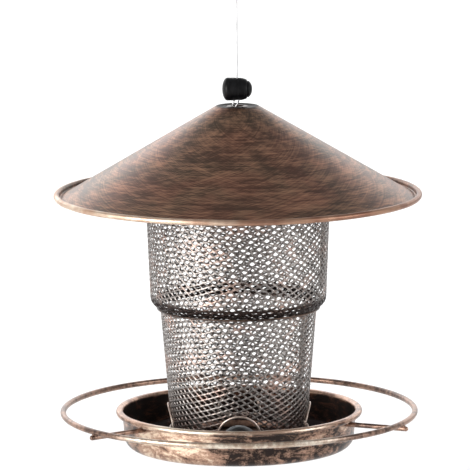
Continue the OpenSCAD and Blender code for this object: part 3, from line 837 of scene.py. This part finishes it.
def port_rim(node, turn):
    """A rounded bead round a port, lying on the mesh."""
    wall_half, bead_half = 0.5, 0.62
    corner_r, corner_h = PORT_R + BEAD_OUT, SILL_H - 0.2
    sill = (PORT_R + 0.2, SILL_H - BEAD_OUT)
    line = [(corner_r, corner_h)] + port_line(BEAD_OUT, 36)[1:-1] + [(-corner_r, corner_h)]
    line += straight((-sill[0], sill[1]), sill, 24)
    path, ups = [], []
    for side, h in line:
        r = cone_radius(LOWER, h) + wall_half + bead_half
        a = math.asin(side / r)
        path.append(Vector((r * math.cos(a), side, h)))
        ups.append(Vector((math.cos(a), math.sin(a), -0.083)))
    points = []
    for i, p in enumerate(path):
        along = (path[(i + 1) % len(path)] - path[i - 1]).normalized()
        side = along.cross(ups[i]).normalized()
        lift = side.cross(along)
        for a, b in circle(1, 14):
            points.append(p + side * a * 0.78 + lift * max(b, -0.8) * 0.6)
    piece = link_mesh(node + "_bead", turned(points, turn), tube_faces(len(path), 14, closed=True))
    finish_piece(piece, PORT, "base", "port_metal", node)


def seam_strip(name, cone, low, high, azimuth, out, body, node):
    """The strip over the joint of a rolled mesh, with a row of spot welds."""
    width, thick, rows, columns = 8.0, 0.8, 120, 12
    pitch = (high - low) / 7
    points = []
    for side in (1, -1):
        for j in range(rows + 1):
            h = low + (high - low) * j / rows
            for i in range(columns + 1):
                across_strip = width * (i / columns - 0.5)
                spot = math.hypot(across_strip, (h - low) % pitch - pitch / 2)
                dent = 0.22 * math.exp(-(spot / 1.1) ** 2)
                edge = 0.18 * (abs(across_strip) / (width / 2)) ** 6
                r = cone_radius(cone, h) + out + side * (thick / 2 - edge) - dent * (1 if out > 0 else -1)
                a = math.radians(azimuth) + across_strip / r
                points.append((r * math.cos(a), r * math.sin(a), h))
    w, n = columns + 1, (rows + 1) * (columns + 1)
    faces = []
    for j in range(rows):
        for i in range(columns):
            a = j * w + i
            faces += [(a, a + 1, a + w + 1, a + w), (n + a, n + a + w, n + a + w + 1, n + a + 1)]
    border = [(i, i + 1) for i in range(columns)]
    border += [(j * w + columns, (j + 1) * w + columns) for j in range(rows)]
    border += [(rows * w + i + 1, rows * w + i) for i in range(columns)]
    border += [((j + 1) * w, j * w) for j in range(rows)]
    faces += [(b, a, n + a, n + b) for a, b in border]
    finish_piece(link_mesh(name, points, faces), MESH, body, "mesh_metal", node)


# ---- Perch ----

PERCH_R, PERCH_D, PERCH_H = 122, 4, TRAY_RIM_H
ARM_D, ARM_H, ARM_START, ARM_TIP = 3.5, 20.6, 80.95, 126


def blob(centre, size, seed):
    """A small weld bead: a lumpy flattened ball, as points and faces."""
    bm = bmesh.new()
    bmesh.ops.create_icosphere(bm, subdivisions=3, radius=1)
    points = []
    for v in bm.verts:
        lump = 1 + 0.16 * noise.noise(v.co * 1.9 + Vector((seed, 0, 0)))
        points.append(Vector(centre) + Vector([c * s * lump for c, s in zip(v.co, size)]))
    faces = [tuple(v.index for v in f.verts) for f in bm.faces]
    bm.free()
    return points, faces


def joined(parts):
    """Several (points, faces) as one."""
    points, faces = [], []
    for more_points, more_faces in parts:
        start = len(points)
        points += list(more_points)
        faces += [tuple(i + start for i in f) for f in more_faces]
    return points, faces


def perch_ring():
    """The wire hoop, slightly uneven, with its butt weld just left of the front."""
    count, sides = 360, 20
    weld_angle = math.radians(264.5)
    path, sections = [], []
    for k in range(count):
        a = 2 * math.pi * k / count
        wave = Vector((math.cos(a) * 2.2, math.sin(a) * 2.2, 4.1))
        h = PERCH_H + 0.15 * noise.noise(wave)
        path.append(Vector((PERCH_R * math.cos(a), PERCH_R * math.sin(a), h)))
        off = (a - weld_angle + math.pi) % (2 * math.pi) - math.pi
        swell = 1 - 0.06 * math.exp(-(off * PERCH_R / 0.5) ** 2)
        sections.append(circle(PERCH_D / 2 * swell * 0.985, sides))
    points = tube_points(path, lambda i: sections[i], Vector((0, 0, 1)), closed=True)
    piece = link_mesh("perch_ring_wire", points, tube_faces(count, sides, closed=True))
    finish_piece(piece, PERCH, "base", "perch_copper", "perch_ring")


def perch_arm(index):
    """A radial wire with a rounded tip, welded under the ring and to the tray."""
    angle = math.radians(-23.5 - 120 * index)
    tip = ARM_TIP - ARM_D / 2
    path = [Vector((ARM_START + (tip - ARM_START) * i / 40, 0, ARM_H)) for i in range(41)]
    sizes = [ARM_D / 2 * 0.99] * 41
    for k in range(1, 9):
        turn = math.radians(10 * k)
        path.append(Vector((tip + ARM_D / 2 * math.sin(turn), 0, ARM_H)))
        sizes.append(ARM_D / 2 * math.cos(turn))
    wire = tube_points(path, lambda i: circle(sizes[i], 18), Vector((0, 0, 1)))
    parts = [(wire, tube_faces(len(path), 18))]
    parts.append(blob((PERCH_R, 1.2, ARM_H + 1.6), (1.5, 1.5, 0.9), index))
    parts.append(blob((PERCH_R, -1.2, ARM_H + 1.6), (1.5, 1.4, 0.9), index + 5))
    parts.append(blob((ARM_START + 0.7, 0, ARM_H + 1.0), (1.1, 2.6, 1.4), index + 9))
    points, faces = joined(parts)
    node = f"perch_arm_{index + 1}"
    piece = link_mesh(node + "_wire", turned(points, angle), faces)
    finish_piece(piece, PERCH, "base", "perch_copper", node)


# ---- Stopper ----

def turned_on_x(name, outline):
    """An outline of (distance along X, radius) points turned round the stopper's axis."""
    segments = 72
    points = []
    for k in range(segments):
        a = 2 * math.pi * k / segments
        points += [(x, r * math.cos(a), STOPPER_H + r * math.sin(a)) for x, r in outline]
    return link_mesh(name, points, tube_faces(segments, len(outline), closed=True), 40)


def end_cap(x):
    """The stopper's radius towards its button end, as one rounded shape."""
    start, squareness = -1, 2.4
    part = min(max((x - start) / (BUTTON_END - start), 0), 1)
    return STOPPER_R * (1 - part ** squareness) ** (1 / squareness)


BARREL_BACK, BARREL_FRONT, BUTTON_END = -10.3, 6.8, 10.3
SPRING_SEAT = -8.4
# An outline that is turned stops this short of the axis, so that it has no crossing faces
NEAR_AXIS = 0.02


def stopper_barrel():
    """The barrel with its button well, two moulded grooves and a bore for the cable."""
    outline = []
    for degrees in range(0, 91, 6):
        a = math.radians(degrees)
        outline.append((BARREL_BACK + 3.6 * (1 - math.cos(a)), max(STOPPER_R * math.sin(a), NEAR_AXIS)))
    for middle in (-4.6, 0.6):
        for off, depth in ((-0.5, 0), (-0.3, 0.05), (0, 0.08), (0.3, 0.05), (0.5, 0)):
            outline.append((middle + off, STOPPER_R - depth))
    front = BARREL_FRONT
    outline += [(x / 2, end_cap(x / 2)) for x in range(3, 13)]
    outline += [(front - 0.3, end_cap(front - 0.3)), (front - 0.06, end_cap(front) - 0.16)]
    outline += [(front, 6.05), (front - 0.15, 5.9), (front - 0.4, 5.88), (-5.55, 5.88), (-5.6, 5.8)]
    outline += [(-5.6, 3.65), (-5.7, 3.6), (SPRING_SEAT, 3.6), (SPRING_SEAT, NEAR_AXIS)]
    body = turned_on_x("stopper_barrel", outline)
    bore = rod("bore", (0, 0, STOPPER_H), 2.9, 24, 48)
    finish_piece(drilled(body, [bore]), BLACK, "stopper", "stopper_black", "stopper_body")


def stopper_button():
    """The push button, with the slot that the cable is gripped in."""
    radius = 5.6
    outline = [(-3, NEAR_AXIS), (-3, radius - 0.2), (-2.8, radius), (7.2, radius)]
    for k in range(1, 16):
        x = BUTTON_END - 3.1 * (1 - k / 16) ** 2
        outline.append((x, min(radius, end_cap(x))))
    outline.append((BUTTON_END, NEAR_AXIS))
    button = turned_on_x("stopper_push_button", outline)
    corners = ((-1.8, -2.2), (4.4, -2.2), (4.4, 2.2), (-1.8, 2.2))
    box = [(x, y, h) for h in (STOPPER_H - 9, STOPPER_H + 9) for x, y in corners]
    slot = link_mesh("slot", box, tube_faces(2, 4))
    finish_piece(drilled(button, [slot]), BLACK, "button", "stopper_black", "stopper_button")


def stopper_spring():
    """A coil between the barrel's seat and the button."""
    low, high, turns, steps, radius = -8.05, -3.35, 3, 40, 2.9
    path = []
    for i in range(turns * steps + 1):
        a = 2 * math.pi * i / steps
        x = low + (high - low) * i / (turns * steps)
        path.append(Vector((x, radius * math.cos(a), STOPPER_H + radius * math.sin(a))))
    points = tube_points(path, lambda i: circle(0.27, 10))
    piece = link_mesh("stopper_coil_spring", points, tube_faces(len(path), 10))
    finish_piece(piece, STEEL, "stopper", "plain_steel", "stopper_spring")
    anchor = place([(SPRING_SEAT, 0, STOPPER_H)])[0]
    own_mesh(piece)


# ---- Everything, built in order ----

make_camera()
cable = make_cable()
roof_shell()
roof_eyelet()
tray_pan()
folded_band("upper_band_folded", *UPPER, 204.7, 199.9, "upper_band", "hopper")
folded_band("lower_hem_folded", *LOWER, 3.3, 8.1, "lower_hem", "base")
upper_mesh()
lower_mesh()
for number, side in enumerate(("right", "back", "left", "front")):
    port_rim("port_rim_" + side, number * math.pi / 2)
seam_strip("upper_seam_strip", UPPER, 106.6, 198.9, UPPER_SEAM, 0.95, "hopper", "upper_seam")
seam_strip("lower_seam_strip", LOWER, 9, 96.6, LOWER_SEAM, -0.95, "base", "lower_seam")
perch_ring()
for number in range(3):
    perch_arm(number)
stopper_barrel()
stopper_button()
stopper_spring()

for names, material in (
    (("roof_rim_wire", "tray_rim_wire", "cross_strap", "base_cross", "dome_screw", "dome_washer"), STEEL),
    (("lip_hoop", "flange_hoop"), HOOP),
    (("strap_rivets", "base_rivets"), TRIM),
    (("seed_dome",), DOME),
    (("cable_stops", "cable_ferrule"), CRIMP),
):
    for name in names:
        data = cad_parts[name].data
        data.materials.clear()
        data.materials.append(material)
cable.data.materials.append(CABLE_STEEL)


# ---- Studio ----

def make_world():
    """A soft surround: bright low down behind the feeder, and dim overhead, towards the viewer
    and on the right."""
    world = bpy.data.worlds.new("studio")
    world.use_nodes = True
    tree = world.node_tree
    background = tree.nodes["Background"]

    def ramp(value, low, high):
        made = tree.nodes.new("ShaderNodeMapRange")
        made.interpolation_type = "SMOOTHSTEP"
        made.inputs["From Min"].default_value = low
        made.inputs["From Max"].default_value = high
        tree.links.new(value, made.inputs["Value"])
        return made.outputs["Result"]

    def product(a, b):
        made = tree.nodes.new("ShaderNodeMath")
        made.operation = "MULTIPLY"
        tree.links.new(a, made.inputs[0])
        tree.links.new(b, made.inputs[1])
        return made.outputs[0]

    split = tree.nodes.new("ShaderNodeSeparateXYZ")
    tree.links.new(tree.nodes.new("ShaderNodeTexCoord").outputs["Generated"], split.inputs[0])
    low_behind = product(ramp(split.outputs[2], 0.45, 0.02), ramp(split.outputs[1], -0.5, 0.5))
    bright = product(low_behind, ramp(split.outputs[0], 1.1, -0.1))
    strength = tree.nodes.new("ShaderNodeMapRange")
    strength.inputs["To Min"].default_value = 0.3
    strength.inputs["To Max"].default_value = 1.0
    tree.links.new(bright, strength.inputs["Value"])
    background.inputs["Color"].default_value = (0.985, 0.99, 1, 1)
    tree.links.new(strength.outputs["Result"], background.inputs["Strength"])
    bpy.context.scene.world = world


def make_studio():
    """A pale floor well below the hanging feeder, and soft boxes round it."""
    bpy.context.scene.view_settings.view_transform = "Standard"
    bpy.ops.mesh.primitive_plane_add(size=60, location=(0, 0, FOOT - 0.3))
    floor = bpy.context.object
    floor.name = "floor"
    f = Finish("floor_pale", 0.0, 0.9)
    grain = f.noise(f.coords(), 6, 3, 0.5)
    f.colour(f.mix(grain, rgb(248, 248, 248), rgb(253, 253, 253)))
    f.rough(f.math("ADD", 0.8, f.math("MULTIPLY", grain, 0.15)))
    floor.data.materials.append(f.material)
    lamps = (
        ("key", (-1.6, -1.2, 0.1), (0, 0, FOOT + 0.08), 1.1, 38, (1, 0.985, 0.96)),
        ("side", (1.7, -0.7, 0.2), (0, 0, FOOT + 0.1), 0.9, 11, (1, 1, 1)),
        ("sheen_left", (-1.2, 2.3, 1.0), (0, 0, FOOT + 0.15), 1.5, 5.5, (0.97, 0.98, 1)),
        ("sweep", (0, 4.2, 0.6), (0, 4.2, FOOT - 0.3), 6.0, 130, (1, 1, 1)),
    )
    for name, spot, target, size, power, tone in lamps:
        data = bpy.data.lights.new(name, "AREA")
        data.size = size
        data.energy = power
        data.color = tone
        lamp = bpy.data.objects.new(name, data)
        bpy.context.scene.collection.objects.link(lamp)
        lamp.location = spot
        aim = Vector(target) - lamp.location
        lamp.rotation_euler = aim.to_track_quat("-Z", "Y").to_euler()


make_world()
make_studio()
